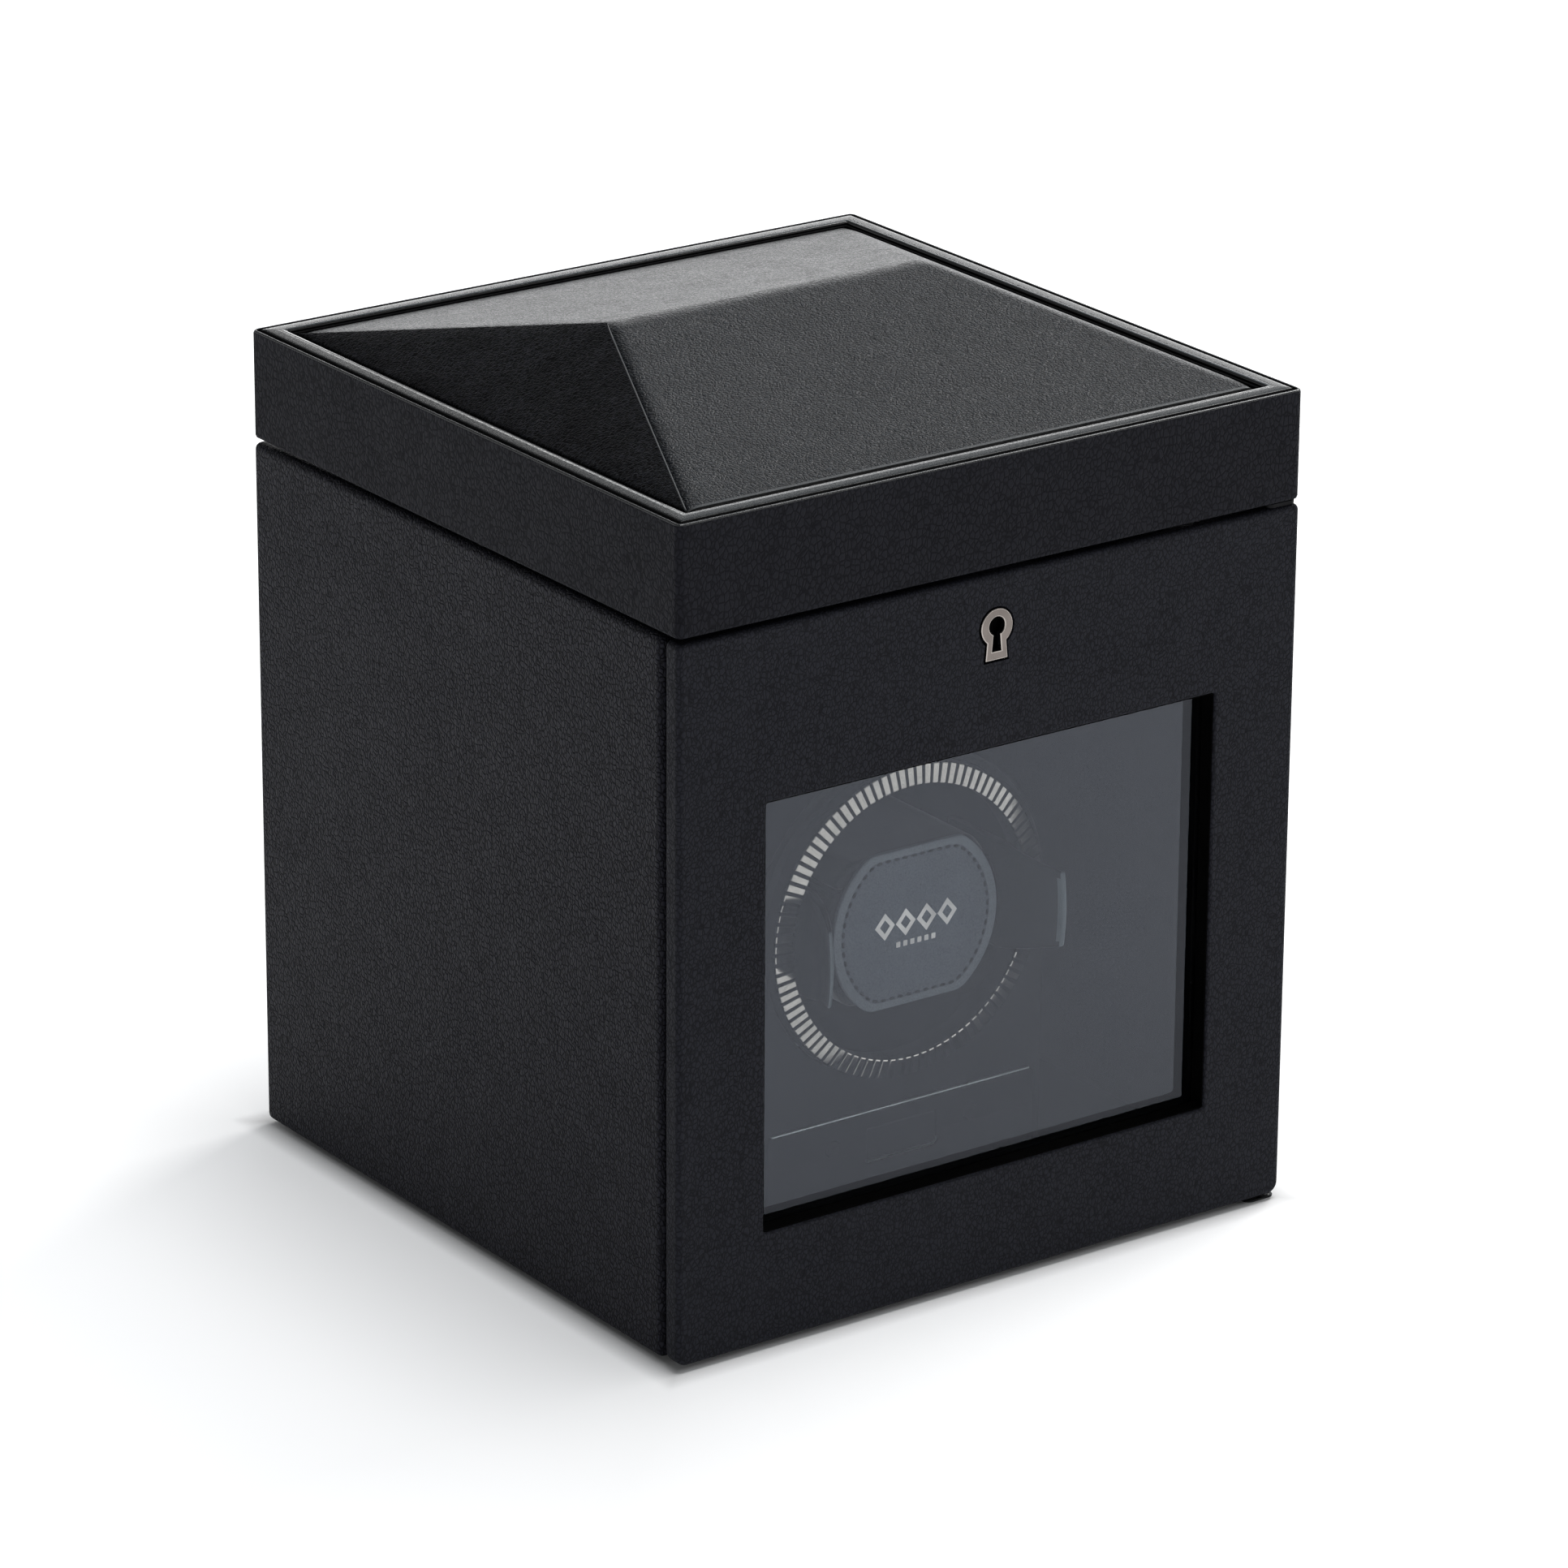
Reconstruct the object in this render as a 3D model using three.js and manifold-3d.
// Single watch winder box with a storage compartment under its hipped lid.
// Millimetres, +Z up, the door faces -Y. Origin: centre of the bounding box, on the floor.

import * as THREE from 'three';
import { mergeVertices } from 'three/addons/utils/BufferGeometryUtils.js';
import { ConvexGeometry } from 'three/addons/geometries/ConvexGeometry.js';
import Module from 'manifold-3d';

const wasm = await Module();
wasm.setup();

// ---------------------------------------------------------------- driving dimensions

const WIDTH = 190;
const DEPTH = 192;
const KNUCKLE_R = 2;
const FIT = 0.3;

const HALF_W = WIDTH / 2;
const FRONT = -(DEPTH + KNUCKLE_R) / 2;
const REAR = FRONT + DEPTH;

const FOOT_H = 1.2;
const BODY_BOTTOM = 1.5;
const BODY_TOP = BODY_BOTTOM + 188.8;
const LID_BOTTOM = BODY_BOTTOM + 190;
const RIM_TOP = BODY_BOTTOM + 219.2;
const APEX = BODY_BOTTOM + 236.4;

const WALL = 10;
const BACK_T = 8;
const EDGE_R = 2;
const BASE_TOP = BODY_BOTTOM + WALL;
const RAIL_BOTTOM = BODY_BOTTOM + 152;
const CEILING_T = 4;

const DOOR_T = 6;
const DOOR_GAP = 1.5;
const DOOR_BOTTOM = BODY_BOTTOM + 0.2;
const CASE_FRONT = FRONT + DOOR_T + DOOR_GAP;
const DOOR_BACK = FRONT + DOOR_T;

const WINDOW_HALF = 69.2;
const WINDOW_LOW = BODY_BOTTOM + 30.1;
const WINDOW_HIGH = BODY_BOTTOM + 143.5;
const LIP_T = 4.5;
const REBATE = 3.8;
const GLASS_T = 3;
const RETAINER_T = 3;

const DRUM_Z = BODY_BOTTOM + 86.3;
const RING_INNER_R = 37.4;
const RING_OUTER_R = 42;
const RING_FRONT = FRONT + 34.5;
const PATCH_FRONT = FRONT + 33;
const MODULE_HALF = 45;
const MODULE_LOW = BASE_TOP + 0.6;
const MODULE_WALL = 2.4;

const INNER_HALF = HALF_W - WALL - FIT;
const INNER_REAR = REAR - BACK_T - FIT;

// ---------------------------------------------------------------- materials

const LOOKS = {
  leather: [0x24262b, 0.55, 0],
  velvet: [0x17181b, 0.95, 0],
  board: [0x2a2622, 0.85, 0],
  glass: [0xbfc7cf, 0.05, 0],
  gloss: [0x0b0b0d, 0.15, 0],
  plastic: [0x18191b, 0.5, 0],
  patch: [0x5a5e64, 0.6, 0],
  ring: [0x9a948c, 0.3, 1],
  gunmetal: [0x968c85, 0.35, 1],
  steel: [0xb8babd, 0.35, 1],
  bronze: [0x9c7a4a, 0.4, 1],
  rubber: [0x1c1c1c, 0.9, 0],
  green_board: [0x1f4d33, 0.6, 0],
  display: [0x30363a, 0.2, 0],
};

// ---------------------------------------------------------------- solid helpers

function signedVolume(geometry) {
  const p = geometry.getAttribute('position');
  const index = geometry.getIndex();
  const a = new THREE.Vector3();
  const b = new THREE.Vector3();
  const c = new THREE.Vector3();
  let sum = 0;
  for (let i = 0; i < index.count; i += 3) {
    a.fromBufferAttribute(p, index.getX(i));
    b.fromBufferAttribute(p, index.getX(i + 1));
    c.fromBufferAttribute(p, index.getX(i + 2));
    sum += a.dot(b.cross(c));
  }
  return sum / 6;
}

// One closed body: shared corners are merged and the faces point out.
function closed(geometry) {
  geometry.deleteAttribute('normal');
  geometry.deleteAttribute('uv');
  const merged = mergeVertices(geometry, 1e-4);
  if (signedVolume(merged) < 0) {
    const order = merged.getIndex().array;
    for (let i = 0; i < order.length; i += 3) {
      [order[i], order[i + 1]] = [order[i + 1], order[i]];
    }
  }
  return merged;
}

function toManifold(geometry) {
  const whole = closed(geometry);
  return new wasm.Manifold(new wasm.Mesh({
    numProp: 3,
    vertProperties: Float32Array.from(whole.getAttribute('position').array),
    triVerts: Uint32Array.from(whole.getIndex().array),
  }));
}

function fromManifold(manifold) {
  const mesh = manifold.getMesh();
  const geometry = new THREE.BufferGeometry();
  geometry.setAttribute('position', new THREE.BufferAttribute(mesh.vertProperties, mesh.numProp));
  geometry.setIndex(new THREE.BufferAttribute(mesh.triVerts, 1));
  return geometry;
}

function cut(geometry, ...tools) {
  let result = toManifold(geometry);
  for (const tool of tools) {
    result = result.subtract(toManifold(tool));
  }
  return fromManifold(result);
}

function join(geometry, ...others) {
  let result = toManifold(geometry);
  for (const other of others) {
    result = result.add(toManifold(other));
  }
  return fromManifold(result);
}

function common(geometry, other) {
  return fromManifold(toManifold(geometry).intersect(toManifold(other)));
}

// ---------------------------------------------------------------- shape helpers

function box(x0, x1, y0, y1, z0, z1) {
  const geometry = new THREE.BoxGeometry(x1 - x0, y1 - y0, z1 - z0);
  return geometry.translate((x0 + x1) / 2, (y0 + y1) / 2, (z0 + z1) / 2);
}

// A rectangle whose four corners, from (a0, b0) anticlockwise, have their own radii.
function roundedRect(target, a0, a1, b0, b1, radii) {
  const [r00, r10, r11, r01] = radii;
  target.moveTo(a0 + r00, b0);
  target.lineTo(a1 - r10, b0);
  if (r10 > 0) target.absarc(a1 - r10, b0 + r10, r10, -Math.PI / 2, 0, false);
  target.lineTo(a1, b1 - r11);
  if (r11 > 0) target.absarc(a1 - r11, b1 - r11, r11, 0, Math.PI / 2, false);
  target.lineTo(a0 + r01, b1);
  if (r01 > 0) target.absarc(a0 + r01, b1 - r01, r01, Math.PI / 2, Math.PI, false);
  target.lineTo(a0, b0 + r00);
  if (r00 > 0) target.absarc(a0 + r00, b0 + r00, r00, Math.PI, Math.PI * 1.5, false);
  return target;
}

function rectangle(a0, a1, b0, b1, r = 0) {
  return roundedRect(new THREE.Shape(), a0, a1, b0, b1, [r, r, r, r]);
}

function disc(a, b, r) {
  return new THREE.Shape().absarc(a, b, r, 0, Math.PI * 2, false);
}

function extrude(shape, length, segments) {
  return new THREE.ExtrudeGeometry(shape, {
    depth: length,
    bevelEnabled: false,
    curveSegments: segments,
  });
}

// Outlines in the plan (x, y), the elevation (x, z) and the profile (y, z).
function alongZ(shape, z0, z1, segments = 2) {
  return extrude(shape, z1 - z0, segments).translate(0, 0, z0);
}

function alongY(shape, y0, y1, segments = 2) {
  return extrude(shape, y1 - y0, segments).rotateX(Math.PI / 2).translate(0, y1, 0);
}

function alongX(shape, x0, x1, segments = 3) {
  const turn = new THREE.Matrix4().makeBasis(
    new THREE.Vector3(0, 1, 0),
    new THREE.Vector3(0, 0, 1),
    new THREE.Vector3(1, 0, 0),
  );
  return extrude(shape, x1 - x0, segments).applyMatrix4(turn).translate(x0, 0, 0);
}

// A turned piece about an axis parallel to Y through height z. Profile: [radius, y] pairs.
function turned(profile, z, segments = 40) {
  const points = profile.map(([r, y]) => new THREE.Vector2(r, y));
  return new THREE.LatheGeometry(points, segments).translate(0, 0, z);
}

const object = new THREE.Group();

function add(name, geometry, look) {
  const [color, roughness, metalness] = LOOKS[look];
  const material = new THREE.MeshStandardMaterial({ color, roughness, metalness });
  const mesh = new THREE.Mesh(closed(geometry), material);
  mesh.name = name;
  object.add(mesh);
  return mesh;
}

// ---------------------------------------------------------------- carcass

const HINGE_X = 52;
const HINGE_HALF = 18;
const HINGE_Z = (BODY_TOP + LID_BOTTOM) / 2;
const KNUCKLE_POCKET = KNUCKLE_R + 0.4;
const JACK_Z = BODY_BOTTOM + 30;
const JACK_R = 6;

function knucklePocket(side) {
  const x = side * HINGE_X;
  const reach = HINGE_HALF + 0.4;
  return box(x - reach, x + reach, REAR - KNUCKLE_POCKET, REAR + 1,
    HINGE_Z - KNUCKLE_POCKET, HINGE_Z + KNUCKLE_POCKET);
}

function addCarcass() {
  const leftPlan = roundedRect(new THREE.Shape(), -HALF_W, -HALF_W + WALL, CASE_FRONT, REAR,
    [EDGE_R, 0, 0, EDGE_R]);
  const rightPlan = roundedRect(new THREE.Shape(), HALF_W - WALL, HALF_W, CASE_FRONT, REAR,
    [0, EDGE_R, EDGE_R, 0]);
  add('side_panel_left', alongZ(leftPlan, BODY_BOTTOM, BODY_TOP), 'leather');
  add('side_panel_right', alongZ(rightPlan, BODY_BOTTOM, BODY_TOP), 'leather');

  const back = cut(
    box(-INNER_HALF, INNER_HALF, REAR - BACK_T, REAR, BODY_BOTTOM, BODY_TOP),
    alongY(disc(0, JACK_Z, JACK_R + FIT), REAR - BACK_T - 1, REAR + 1, 10),
    knucklePocket(-1),
    knucklePocket(1),
  );
  add('back_panel', back, 'leather');

  add('base_panel', box(-INNER_HALF, INNER_HALF, CASE_FRONT, INNER_REAR,
    BODY_BOTTOM, BASE_TOP), 'velvet');
  add('front_rail', box(-INNER_HALF, INNER_HALF, CASE_FRONT, CASE_FRONT + WALL, RAIL_BOTTOM, BODY_TOP),
    'leather');
  add('chamber_ceiling', box(-INNER_HALF, INNER_HALF, CASE_FRONT + WALL + FIT, INNER_REAR,
    RAIL_BOTTOM, RAIL_BOTTOM + CEILING_T), 'velvet');

  const footX = 72;
  const footY = 76;
  const footR = 7;
  for (const [sx, side] of [[-1, 'left'], [1, 'right']]) {
    for (const [sy, end] of [[-1, 'front'], [1, 'rear']]) {
      const foot = new THREE.CylinderGeometry(footR, footR, FOOT_H, 16);
      foot.rotateX(Math.PI / 2).translate(sx * footX, sy * footY, FOOT_H / 2);
      add(`foot_${end}_${side}`, foot, 'rubber');
    }
  }
}

// ---------------------------------------------------------------- storage compartment

const TRAY_FLOOR = RAIL_BOTTOM + CEILING_T + FIT;
const TRAY_TOP = BODY_TOP - 1.2;
const TRAY_WALL = 2;
const TRAY_FRONT = CASE_FRONT + WALL + FIT;
const TRAY_REAR = INNER_REAR - FIT;
const BAY_REAR = 20;

function addStorage() {
  const half = INNER_HALF - FIT;
  const bayWidth = (2 * half - 4 * TRAY_WALL) / 3;
  const bayFloor = TRAY_FLOOR + TRAY_WALL;
  const hollows = [];
  const pillow = { width: 47, depth: 78, height: 36, corner: 14, lift: 0.4 };
  for (let bay = 0; bay < 3; bay += 1) {
    const x0 = -half + TRAY_WALL + bay * (bayWidth + TRAY_WALL);
    hollows.push(box(x0, x0 + bayWidth, TRAY_FRONT + TRAY_WALL, BAY_REAR, bayFloor, TRAY_TOP + 1));
    const middle = x0 + bayWidth / 2;
    const y0 = (TRAY_FRONT + TRAY_WALL + BAY_REAR - pillow.depth) / 2;
    const z0 = bayFloor + pillow.lift;
    const profile = rectangle(y0, y0 + pillow.depth, z0, z0 + pillow.height, pillow.corner);
    add(`storage_pillow_${bay + 1}`, alongX(profile, middle - pillow.width / 2, middle + pillow.width / 2),
      'velvet');
  }
  hollows.push(box(-half + TRAY_WALL, half - TRAY_WALL, BAY_REAR + TRAY_WALL, TRAY_REAR - TRAY_WALL,
    bayFloor, TRAY_TOP + 1));
  add('storage_tray', cut(box(-half, half, TRAY_FRONT, TRAY_REAR, TRAY_FLOOR, TRAY_TOP), ...hollows),
    'velvet');
}

// ---------------------------------------------------------------- door

const KEY_Z = BODY_BOTTOM + 175;
const KEYHOLE = { headR: 2.4, waist: 1, foot: 1.43, drop: 6.5 };
const ESCUTCHEON = { headR: 4.85, waist: 2.95, foot: 3.4, drop: 8.55, t: 1.1 };
const RECESS_GAP = 0.45;
const PLATE_Z = KEY_Z - 0.25;
const LOCK = {
  halfWidth: 15,
  low: KEY_Z - 15,
  high: KEY_Z + 8,
  front: FRONT + 2.8,
  back: DOOR_BACK - 0.2,
};
const BOLT = {
  halfWidth: 4,
  low: KEY_Z - 8.6,
  high: BODY_TOP - 0.4,
  front: FRONT + 3.7,
  back: FRONT + 4.9,
};
const PIVOT_X = HALF_W - DOOR_T / 2;
const PIVOT_Y = FRONT + DOOR_T / 2;
const PIN_R = 1.5;
const PIN_HOLE_R = 1.8;

// A round head on a foot that flares downwards.
function keyhole(headZ, headR, waistHalf, footHalf, footZ) {
  const waistAngle = Math.asin(waistHalf / headR);
  const shape = new THREE.Shape();
  shape.moveTo(-footHalf, footZ);
  shape.lineTo(footHalf, footZ);
  shape.absarc(0, headZ, headR, -Math.PI / 2 + waistAngle, Math.PI * 1.5 - waistAngle, false);
  return shape;
}

function pinHole(z0, z1) {
  return alongZ(disc(PIVOT_X, PIVOT_Y, PIN_HOLE_R), z0, z1, 8);
}

function addDoor() {
  const glassFront = FRONT + LIP_T + FIT;
  const glassBack = glassFront + GLASS_T;
  const rebateHalf = WINDOW_HALF + REBATE;
  const rebateLow = WINDOW_LOW - REBATE;
  const rebateHigh = WINDOW_HIGH + REBATE;
  const keyOutline = keyhole(KEY_Z, KEYHOLE.headR, KEYHOLE.waist, KEYHOLE.foot, KEY_Z - KEYHOLE.drop);
  const keyway = alongY(keyOutline, FRONT - 1, LOCK.front + 1.2, 8);
  const plateOutline = (gap) => keyhole(PLATE_Z, ESCUTCHEON.headR + gap, ESCUTCHEON.waist + gap,
    ESCUTCHEON.foot + gap, PLATE_Z - ESCUTCHEON.drop - gap);
  const outline = rectangle(-HALF_W, HALF_W, DOOR_BOTTOM, BODY_TOP, 1.5);
  outline.holes.push(rectangle(-WINDOW_HALF, WINDOW_HALF, WINDOW_LOW, WINDOW_HIGH));
  const face = cut(
    alongY(outline, FRONT, DOOR_BACK),
    alongY(plateOutline(RECESS_GAP), FRONT - 1, FRONT + ESCUTCHEON.t + 0.4, 8),
    keyway,
    box(-rebateHalf, rebateHalf, FRONT + LIP_T, DOOR_BACK + 1, rebateLow, rebateHigh),
    box(-LOCK.halfWidth - FIT, LOCK.halfWidth + FIT, LOCK.front - FIT, DOOR_BACK + 1,
      LOCK.low - FIT, LOCK.high + FIT),
    box(-BOLT.halfWidth - 0.4, BOLT.halfWidth + 0.4, BOLT.front - 0.4, BOLT.back + 0.4,
      LOCK.high, BODY_TOP + 1),
    pinHole(BODY_TOP - 8, BODY_TOP + 1),
    pinHole(DOOR_BOTTOM - 1, DOOR_BOTTOM + 8),
  );
  add('door_face', face, 'leather');

  const plate = cut(
    alongY(plateOutline(0), FRONT + 0.1, FRONT + 0.1 + ESCUTCHEON.t, 8),
    keyway,
  );
  add('escutcheon', plate, 'gunmetal');

  const lockCase = cut(
    box(-LOCK.halfWidth, LOCK.halfWidth, LOCK.front, LOCK.back, LOCK.low, LOCK.high),
    keyway,
    box(-BOLT.halfWidth - FIT, BOLT.halfWidth + FIT, BOLT.front - FIT, BOLT.back + FIT,
      BOLT.low - FIT, LOCK.high + 1),
  );
  add('lock_case', lockCase, 'steel');
  add('lock_bolt', box(-BOLT.halfWidth, BOLT.halfWidth, BOLT.front, BOLT.back,
    BOLT.low, BOLT.high), 'steel');

  const frameHalf = HALF_W - WALL - 1.8;
  const frameLow = BASE_TOP + 1.7;
  const frameHigh = RAIL_BOTTOM - 1.7;
  const frameOutline = rectangle(-frameHalf, frameHalf, frameLow, frameHigh, 1.5);
  frameOutline.holes.push(rectangle(-rebateHalf, rebateHalf, rebateLow, rebateHigh));
  add('door_back_frame', alongY(frameOutline, DOOR_BACK + FIT, glassBack + RETAINER_T + 1.4), 'velvet');

  const paneHalf = rebateHalf - FIT;
  const paneLow = rebateLow + FIT;
  const paneHigh = rebateHigh - FIT;
  add('window_glass', box(-paneHalf, paneHalf, glassFront, glassBack, paneLow, paneHigh), 'glass');

  const retainer = rectangle(-paneHalf, paneHalf, paneLow, paneHigh);
  retainer.holes.push(rectangle(-WINDOW_HALF, WINDOW_HALF, WINDOW_LOW, WINDOW_HIGH));
  add('glass_retainer', alongY(retainer, glassBack + FIT, glassBack + FIT + RETAINER_T), 'plastic');
}

// Pivot hinges: a thin leaf on the carcass above and below the door, and a pin in the door.
function addDoorPivots() {
  const leafLevels = { top: BODY_TOP + 0.3, bottom: 0.6 };
  const leafT = 0.6;
  for (const [end, low] of Object.entries(leafLevels)) {
    const plan = rectangle(PIVOT_X - 7, HALF_W - 0.6, FRONT + 0.6, CASE_FRONT + 18, 2);
    plan.holes.push(disc(PIVOT_X, PIVOT_Y, PIN_HOLE_R));
    add(`pivot_leaf_${end}`, alongZ(plan, low, low + leafT, 8), 'steel');
    const pinLow = end === 'top' ? BODY_TOP - 7.5 : low;
    const pinHigh = end === 'top' ? low + leafT : DOOR_BOTTOM + 7.5;
    add(`pivot_pin_${end}`, alongZ(disc(PIVOT_X, PIVOT_Y, PIN_R), pinLow, pinHigh, 8), 'steel');
  }
}

// ---------------------------------------------------------------- lid

const LID_WALL = 8;
const RIM_FLAT = 5.2;
const BEAD_STEP_Z = RIM_TOP - 4.7;
const EAVES_Z = RIM_TOP - 1;
const RIDGE_HALF = 49;
const RIDGE_Y = 0.4;
const ROOF_T = 5;
const LINING_Z = LID_BOTTOM + 16;

function inset(d) {
  return [-HALF_W + d, HALF_W - d, FRONT + d, REAR - d];
}

function hip(edge, low, eaves, ridgeHalf, apex) {
  const [x0, x1, y0, y1] = inset(edge);
  const points = [];
  for (const z of [low, eaves]) {
    for (const x of [x0, x1]) {
      for (const y of [y0, y1]) {
        points.push(new THREE.Vector3(x, y, z));
      }
    }
  }
  points.push(new THREE.Vector3(-ridgeHalf, RIDGE_Y, apex));
  points.push(new THREE.Vector3(ridgeHalf, RIDGE_Y, apex));
  return new ConvexGeometry(points);
}

function addLid() {
  const outline = rectangle(...inset(0), EDGE_R);
  outline.holes.push(rectangle(...inset(LID_WALL)));
  const strike = { halfWidth: 11, front: FRONT + 1.6, back: FRONT + LID_WALL - 1.4, t: 0.8 };
  const frame = cut(
    alongZ(outline, LID_BOTTOM, RIM_TOP),
    box(...inset(RIM_FLAT), BEAD_STEP_Z, RIM_TOP + 1),
    box(-strike.halfWidth - FIT, strike.halfWidth + FIT, strike.front - FIT, strike.back + FIT,
      LID_BOTTOM - 1, LID_BOTTOM + strike.t + 0.4),
    box(-BOLT.halfWidth - 1, BOLT.halfWidth + 1, BOLT.front - 0.8, BOLT.back + 0.8,
      LID_BOTTOM, LID_BOTTOM + 6),
    knucklePocket(-1),
    knucklePocket(1),
  );
  add('lid_frame', frame, 'leather');

  const strikePlan = rectangle(-strike.halfWidth, strike.halfWidth, strike.front, strike.back, 1);
  strikePlan.holes.push(rectangle(-BOLT.halfWidth - 0.7, BOLT.halfWidth + 0.7,
    BOLT.front - 0.6, BOLT.back + 0.6));
  add('strike_plate', alongZ(strikePlan, LID_BOTTOM + 0.1, LID_BOTTOM + 0.1 + strike.t), 'steel');

  const beadOutline = rectangle(...inset(RIM_FLAT + FIT), 0.8);
  beadOutline.holes.push(rectangle(...inset(RIM_FLAT + FIT + 1.8)));
  add('lid_bead', alongZ(beadOutline, BEAD_STEP_Z + FIT, RIM_TOP + 0.3), 'leather');

  const roofEdge = LID_WALL + FIT;
  const roof = cut(
    hip(roofEdge, BEAD_STEP_Z - 1.5, EAVES_Z, RIDGE_HALF, APEX),
    hip(roofEdge + 2 * ROOF_T, BEAD_STEP_Z - 5, EAVES_Z - ROOF_T, RIDGE_HALF - ROOF_T, APEX - ROOF_T),
  );
  add('lid_roof', roof, 'leather');
  add('lid_lining', box(...inset(LID_WALL + FIT), LINING_Z, LINING_Z + 3), 'velvet');
}

// Butt hinges across the rear gap: two carcass knuckles, one lid knuckle and a pin each.
function addLidHinges() {
  const pinR = 0.8;
  const boreR = 1;
  const lidKnuckleHalf = 8.7;
  const caseKnuckle = lidKnuckleHalf + FIT;
  const leafFront = REAR - 7;
  const leafT = 0.4;
  const clearEdge = REAR - KNUCKLE_R - FIT;

  const knuckle = (x0, x1) => {
    const ring = disc(REAR, HINGE_Z, KNUCKLE_R);
    ring.holes.push(disc(REAR, HINGE_Z, boreR));
    return alongX(ring, x0, x1, 8);
  };
  const leaf = (x0, x1, yEnd, z0) => box(x0, x1, leafFront, yEnd, z0, z0 + leafT);

  for (const [side, name] of [[-1, 'left'], [1, 'right']]) {
    const x = side * HINGE_X;
    const caseZ = BODY_TOP + 0.05;
    const lidZ = LID_BOTTOM - 0.1 - leafT;
    const tongueEnd = REAR - boreR - 0.3;
    const caseLeaf = join(
      leaf(x - HINGE_HALF, x + HINGE_HALF, clearEdge, caseZ),
      leaf(x - HINGE_HALF, x - caseKnuckle, tongueEnd, caseZ),
      leaf(x + caseKnuckle, x + HINGE_HALF, tongueEnd, caseZ),
      knuckle(x - HINGE_HALF, x - caseKnuckle),
      knuckle(x + caseKnuckle, x + HINGE_HALF),
    );
    const lidLeaf = join(
      leaf(x - HINGE_HALF, x + HINGE_HALF, clearEdge, lidZ),
      leaf(x - lidKnuckleHalf, x + lidKnuckleHalf, tongueEnd, lidZ),
      knuckle(x - lidKnuckleHalf, x + lidKnuckleHalf),
    );
    add(`hinge_leaf_case_${name}`, caseLeaf, 'steel');
    add(`hinge_leaf_lid_${name}`, lidLeaf, 'steel');
    add(`hinge_pin_${name}`, alongX(disc(REAR, HINGE_Z, pinR),
      x - HINGE_HALF, x + HINGE_HALF, 6), 'steel');
  }
}

// ---------------------------------------------------------------- winder module

const FASCIA_FRONT = RING_FRONT + 4.6;
const FASCIA_BACK = FASCIA_FRONT + 2.3;
const SHELL_FRONT = FASCIA_BACK + FIT;
const SHELL_BACK = 50;
const PLATE_FRONT = 30;
const PLATE_BACK = 33;
const SHAFT_R = 4;
const PULLEY_FRONT = 36;
const PULLEY_BACK = 43;
const MOTOR_Z = DRUM_Z - 36;
const MOTOR_R = 12;
const MOTOR_SHAFT_R = 1.5;
const PULLEY_RIM = 2;
const DRUM_GROOVE_R = 22;
const MOTOR_GROOVE_R = 6;

// Straight sides and a half-round top, concentric with the drum.
function tombstone(half, low) {
  const shape = new THREE.Shape();
  shape.moveTo(-half, low);
  shape.lineTo(half, low);
  shape.lineTo(half, DRUM_Z);
  shape.absarc(0, DRUM_Z, half, 0, Math.PI, false);
  shape.lineTo(-half, low);
  return shape;
}

function addModule() {
  const inner = MODULE_HALF - MODULE_WALL;
  const fasciaOutline = tombstone(MODULE_HALF, MODULE_LOW);
  fasciaOutline.holes.push(disc(0, DRUM_Z, RING_OUTER_R + 0.6));
  add('module_fascia', alongY(fasciaOutline, FASCIA_FRONT, FASCIA_BACK, 16), 'plastic');

  const shellOutline = tombstone(MODULE_HALF, MODULE_LOW);
  shellOutline.holes.push(tombstone(inner, MODULE_LOW + MODULE_WALL));
  add('module_shell', alongY(shellOutline, SHELL_FRONT, SHELL_BACK, 16), 'plastic');
  add('module_cover', alongY(tombstone(MODULE_HALF, MODULE_LOW), SHELL_BACK + FIT, SHELL_BACK + 2.3, 16),
    'plastic');

  const plateOutline = tombstone(inner - FIT, MODULE_LOW + MODULE_WALL + FIT);
  plateOutline.holes.push(disc(0, DRUM_Z, SHAFT_R + 3));
  plateOutline.holes.push(disc(0, MOTOR_Z, 2 * MOTOR_SHAFT_R));
  add('bearing_plate', alongY(plateOutline, PLATE_FRONT, PLATE_BACK, 16), 'steel');

  const bore = SHAFT_R + 0.35;
  const bushR = SHAFT_R + 2.7;
  const collarR = 10;
  const collarFront = PLATE_FRONT - 3.5;
  const bush = [
    [bore, collarFront],
    [collarR, collarFront],
    [collarR, PLATE_FRONT - FIT],
    [bushR, PLATE_FRONT - FIT],
    [bushR, PULLEY_FRONT - 0.5],
    [bore, PULLEY_FRONT - 0.5],
    [bore, collarFront],
  ];
  add('shaft_bush', turned(bush, DRUM_Z, 20), 'bronze');

  const motorBack = PLATE_FRONT - FIT;
  const motor = [[0, 0], [MOTOR_R, 0], [MOTOR_R, motorBack], [0, motorBack]];
  add('motor', turned(motor, MOTOR_Z, 20), 'steel');
  const rimR = MOTOR_GROOVE_R + PULLEY_RIM;
  const rotor = [
    [0, PLATE_FRONT],
    [MOTOR_SHAFT_R, PLATE_FRONT],
    [MOTOR_SHAFT_R, PULLEY_FRONT],
    [rimR, PULLEY_FRONT],
    [rimR, PULLEY_FRONT + 1],
    [MOTOR_GROOVE_R, PULLEY_FRONT + 1],
    [MOTOR_GROOVE_R, PULLEY_BACK - 1],
    [rimR, PULLEY_BACK - 1],
    [rimR, PULLEY_BACK],
    [0, PULLEY_BACK],
  ];
  add('motor_pulley', turned(rotor, MOTOR_Z, 16), 'plastic');

  const board = { half: 30, front: SHELL_FRONT + 3, t: 1.6, low: BASE_TOP + 4.5, high: BASE_TOP + 31.5 };
  add('circuit_board', box(-board.half, board.half, board.front, board.front + board.t,
    board.low, board.high), 'green_board');
}

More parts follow.
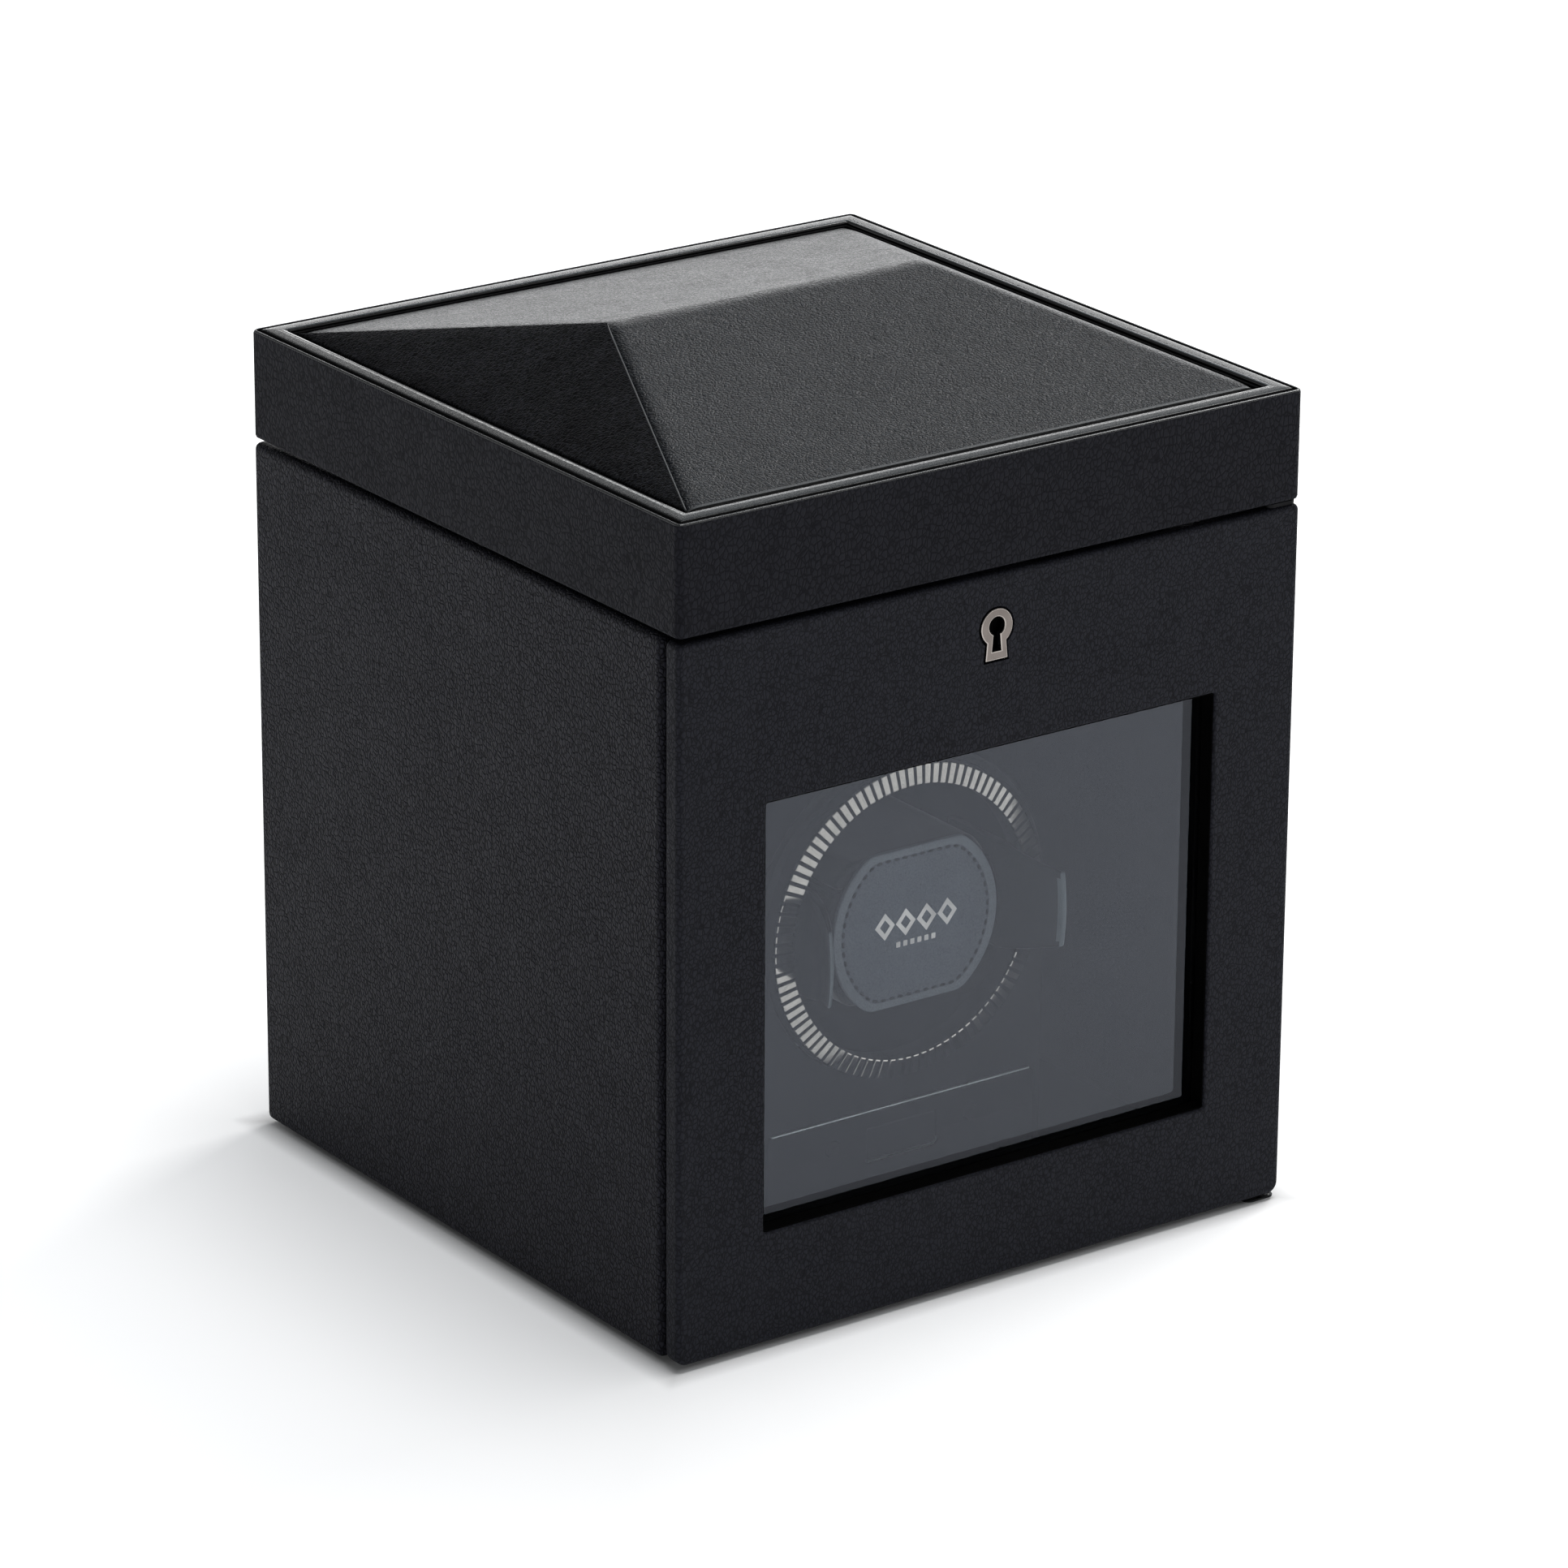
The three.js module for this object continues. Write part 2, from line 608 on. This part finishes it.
// The open belt: round each pulley and straight along the two outer tangents.
function beltOutline(target, gap) {
  const big = DRUM_GROOVE_R + gap;
  const small = MOTOR_GROOVE_R + gap;
  const lean = Math.asin((big - small) / (DRUM_Z - MOTOR_Z));
  target.absarc(0, DRUM_Z, big, -lean, Math.PI + lean, false);
  target.absarc(0, MOTOR_Z, small, Math.PI + lean, Math.PI * 2 - lean, false);
  target.closePath();
  return target;
}

function addBelt() {
  const beltT = 1.2;
  const belt = beltOutline(new THREE.Shape(), FIT + beltT);
  belt.holes.push(beltOutline(new THREE.Path(), FIT));
  add('drive_belt', alongY(belt, PULLEY_FRONT + 1.5, PULLEY_BACK - 1.5, 10), 'rubber');
}

const PANEL_HALF = 42;
const PANEL_TOP = BODY_BOTTOM + 35.9;
const PANEL_FRONT = FASCIA_FRONT - 1.3;
const BUTTON_X = 21.7;
const BUTTON_Z = BODY_BOTTOM + 28;
const BUTTON_R = 2;

function addControls() {
  const outline = rectangle(-PANEL_HALF, PANEL_HALF, MODULE_LOW + 1, PANEL_TOP, 1.5);
  const display = { half: 11, low: BUTTON_Z - 6, high: BUTTON_Z + 2.8 };
  outline.holes.push(rectangle(-display.half - FIT, display.half + FIT,
    display.low - FIT, display.high + FIT));
  for (const side of [-1, 1]) {
    outline.holes.push(disc(side * BUTTON_X, BUTTON_Z, BUTTON_R + FIT));
  }
  add('control_panel', alongY(outline, PANEL_FRONT, FASCIA_FRONT - FIT, 6), 'gloss');
  add('display_window', box(-display.half, display.half, PANEL_FRONT + 0.1, FASCIA_FRONT - FIT,
    display.low, display.high), 'display');
  for (const [side, name] of [[-1, 'left'], [1, 'right']]) {
    const cap = alongY(disc(side * BUTTON_X, BUTTON_Z, BUTTON_R),
      PANEL_FRONT - 0.7, FASCIA_FRONT - 0.8, 8);
    add(`button_${name}`, cap, 'gloss');
  }
}

function addPowerJack() {
  const pinR = 1;
  const socketR = 2.9;
  const socketFloor = REAR - 9;
  const jack = [
    [0, REAR - 14],
    [JACK_R, REAR - 14],
    [JACK_R, REAR - 0.2],
    [socketR, REAR - 0.2],
    [socketR, socketFloor],
    [pinR, socketFloor],
    [pinR, REAR - 2],
    [0, REAR - 2],
  ];
  add('power_jack', turned(jack, JACK_Z, 16), 'plastic');
}

// ---------------------------------------------------------------- drum and watch cuff

function addDrum() {
  const bezelBack = FASCIA_BACK + 0.2;
  const ring = [
    [RING_INNER_R, RING_FRONT],
    [RING_OUTER_R, RING_FRONT + 1.6],
    [RING_OUTER_R, bezelBack],
    [RING_INNER_R, bezelBack],
    [RING_INNER_R, RING_FRONT],
  ];
  add('drum_ring', turned(ring, DRUM_Z, 48), 'ring');

  const cupWall = 2;
  const cupBack = -14;
  const cup = [
    [0, cupBack],
    [RING_INNER_R + cupWall, cupBack],
    [RING_INNER_R + cupWall, bezelBack + FIT],
    [RING_INNER_R, bezelBack + FIT],
    [RING_INNER_R, cupBack - 3],
    [0, cupBack - 3],
  ];
  add('drum_cup', turned(cup, DRUM_Z, 36), 'velvet');

  const shaftFront = cupBack + FIT;
  const shaftBack = PULLEY_BACK + 1;
  const shaft = [[0, shaftFront], [SHAFT_R, shaftFront], [SHAFT_R, shaftBack], [0, shaftBack]];
  add('drum_shaft', turned(shaft, DRUM_Z, 16), 'steel');
  const flange = DRUM_GROOVE_R + 2.2;
  const pulley = [
    [SHAFT_R + FIT, PULLEY_FRONT],
    [flange, PULLEY_FRONT],
    [flange, PULLEY_FRONT + 1],
    [DRUM_GROOVE_R, PULLEY_FRONT + 1],
    [DRUM_GROOVE_R, PULLEY_BACK - 1],
    [flange, PULLEY_BACK - 1],
    [flange, PULLEY_BACK],
    [SHAFT_R + FIT, PULLEY_BACK],
    [SHAFT_R + FIT, PULLEY_FRONT],
  ];
  add('drum_pulley', turned(pulley, DRUM_Z, 28), 'plastic');
}

// A disc cut off flat at two heights, as an elevation outline.
function cutDisc(r, low, high) {
  const lowAngle = Math.asin(low / r);
  const highAngle = Math.asin(high / r);
  const shape = new THREE.Shape();
  shape.absarc(0, DRUM_Z, r, lowAngle, highAngle, false);
  shape.absarc(0, DRUM_Z, r, Math.PI - highAngle, Math.PI - lowAngle, false);
  shape.closePath();
  return shape;
}

function addCuff() {
  const patchT = 1.2;
  const patchR = 25.25;
  const patchHalf = 20.5;
  const coreR = 27.5;
  const coreHalf = 12.7;
  const padHigh = 19.5;
  const coreFront = PATCH_FRONT + patchT + FIT;
  const coreBack = -17.5;
  add('cuff_core', alongY(cutDisc(coreR, -coreHalf, coreHalf), coreFront, coreBack, 6), 'plastic');
  add('cuff_pad_upper', alongY(cutDisc(coreR, coreHalf + FIT, padHigh), coreFront, coreBack, 5), 'velvet');
  add('cuff_pad_lower', alongY(cutDisc(coreR, -padHigh, -coreHalf - FIT), coreFront, coreBack, 5), 'velvet');
  add('cuff_patch', alongY(cutDisc(patchR, -patchHalf, patchHalf),
    PATCH_FRONT, PATCH_FRONT + patchT, 10), 'patch');

  const inner = 28.9;
  const t = 2.4;
  const flare = 7;
  const armHalf = 14.5;
  const tipHalf = 10;
  const armBack = PATCH_FRONT + 26;
  const bendY = PATCH_FRONT + 4;
  const tipY = FRONT + 18.5;
  for (const [side, name] of [[-1, 'left'], [1, 'right']]) {
    const plan = new THREE.Shape();
    plan.moveTo(side * inner, armBack);
    plan.lineTo(side * inner, bendY);
    plan.quadraticCurveTo(side * inner, bendY - 8, side * (inner + flare), tipY);
    plan.lineTo(side * (inner + flare + t), tipY + 0.8);
    plan.quadraticCurveTo(side * (inner + t), bendY - 7, side * (inner + t), bendY);
    plan.lineTo(side * (inner + t), armBack);
    plan.closePath();
    const taper = new THREE.Shape();
    taper.moveTo(armBack + 1, DRUM_Z - armHalf);
    taper.lineTo(armBack + 1, DRUM_Z + armHalf);
    taper.lineTo(bendY, DRUM_Z + armHalf);
    taper.lineTo(tipY - 1, DRUM_Z + tipHalf);
    taper.lineTo(tipY - 1, DRUM_Z - tipHalf);
    taper.lineTo(bendY, DRUM_Z - armHalf);
    taper.closePath();
    const strip = alongZ(plan, DRUM_Z - 20, DRUM_Z + 20, 8);
    add(`cuff_arm_${name}`, common(strip, alongX(taper, -60, 60)), 'plastic');
  }
}

addCarcass();
addStorage();
addDoor();
addDoorPivots();
addLid();
addLidHinges();
addModule();
addBelt();
addControls();
addPowerJack();
addDrum();
addCuff();

export default object;
